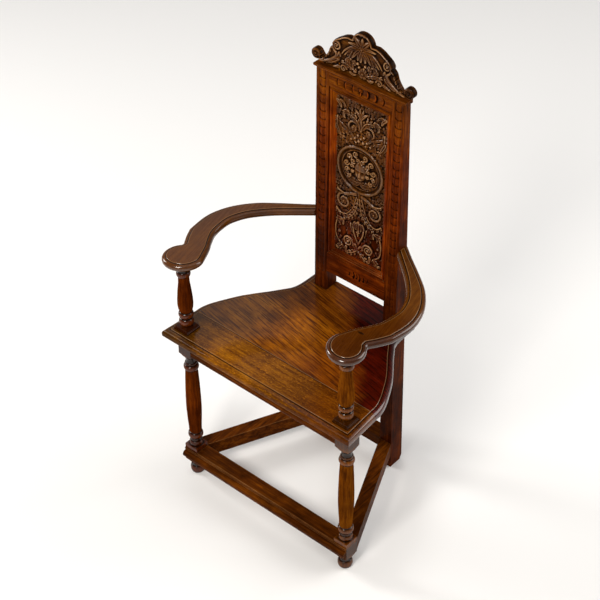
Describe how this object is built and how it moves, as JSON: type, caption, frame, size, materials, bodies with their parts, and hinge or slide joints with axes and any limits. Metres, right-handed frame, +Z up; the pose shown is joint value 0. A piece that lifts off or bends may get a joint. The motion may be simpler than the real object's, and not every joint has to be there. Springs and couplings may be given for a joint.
{
  "type": "elbow chair",
  "caption": "Joined oak elbow chair with a tall narrow panelled back, carved cresting, bowed arms ending in round paddles and turned front legs.",
  "frame": {"origin": "on the floor, under the middle of the chair's bounding box", "axes": "+Z up, the chair faces -Y, +X to the right of someone who faces the chair"},
  "size_m": [0.582, 0.3972, 1.1454],
  "materials": {
    "dark_oak": "very dark red-brown polished oak",
    "brown_oak": "brown polished oak",
    "warm_oak": "warm golden-brown worn and polished oak"
  },
  "bodies": {
    "root": {"rear_post_left": "dark_oak", "rear_post_right": "dark_oak", "back_top_rail": "dark_oak", "back_bottom_rail": "dark_oak", "back_panel": "brown_oak", "panel_moulding_left": "brown_oak", "panel_moulding_right": "brown_oak", "panel_moulding_top": "brown_oak", "panel_moulding_sill": "brown_oak", "cornice": "dark_oak", "crest": "dark_oak", "crest_dowel_left": "warm_oak", "crest_dowel_right": "warm_oak", "seat_front_board": "warm_oak", "seat_rear_board": "warm_oak", "seat_rail_front": "dark_oak", "seat_rail_left": "dark_oak", "seat_rail_right": "dark_oak", "seat_rail_rear": "dark_oak", "front_leg_left": "dark_oak", "front_leg_right": "dark_oak", "stretcher_front": "dark_oak", "stretcher_front_moulding": "dark_oak", "stretcher_left": "dark_oak", "stretcher_right": "dark_oak", "stretcher_rear": "dark_oak", "arm_support_left": "dark_oak", "arm_support_right": "dark_oak", "arm_left": "warm_oak", "arm_right": "warm_oak"}
  },
  "joints": []
}
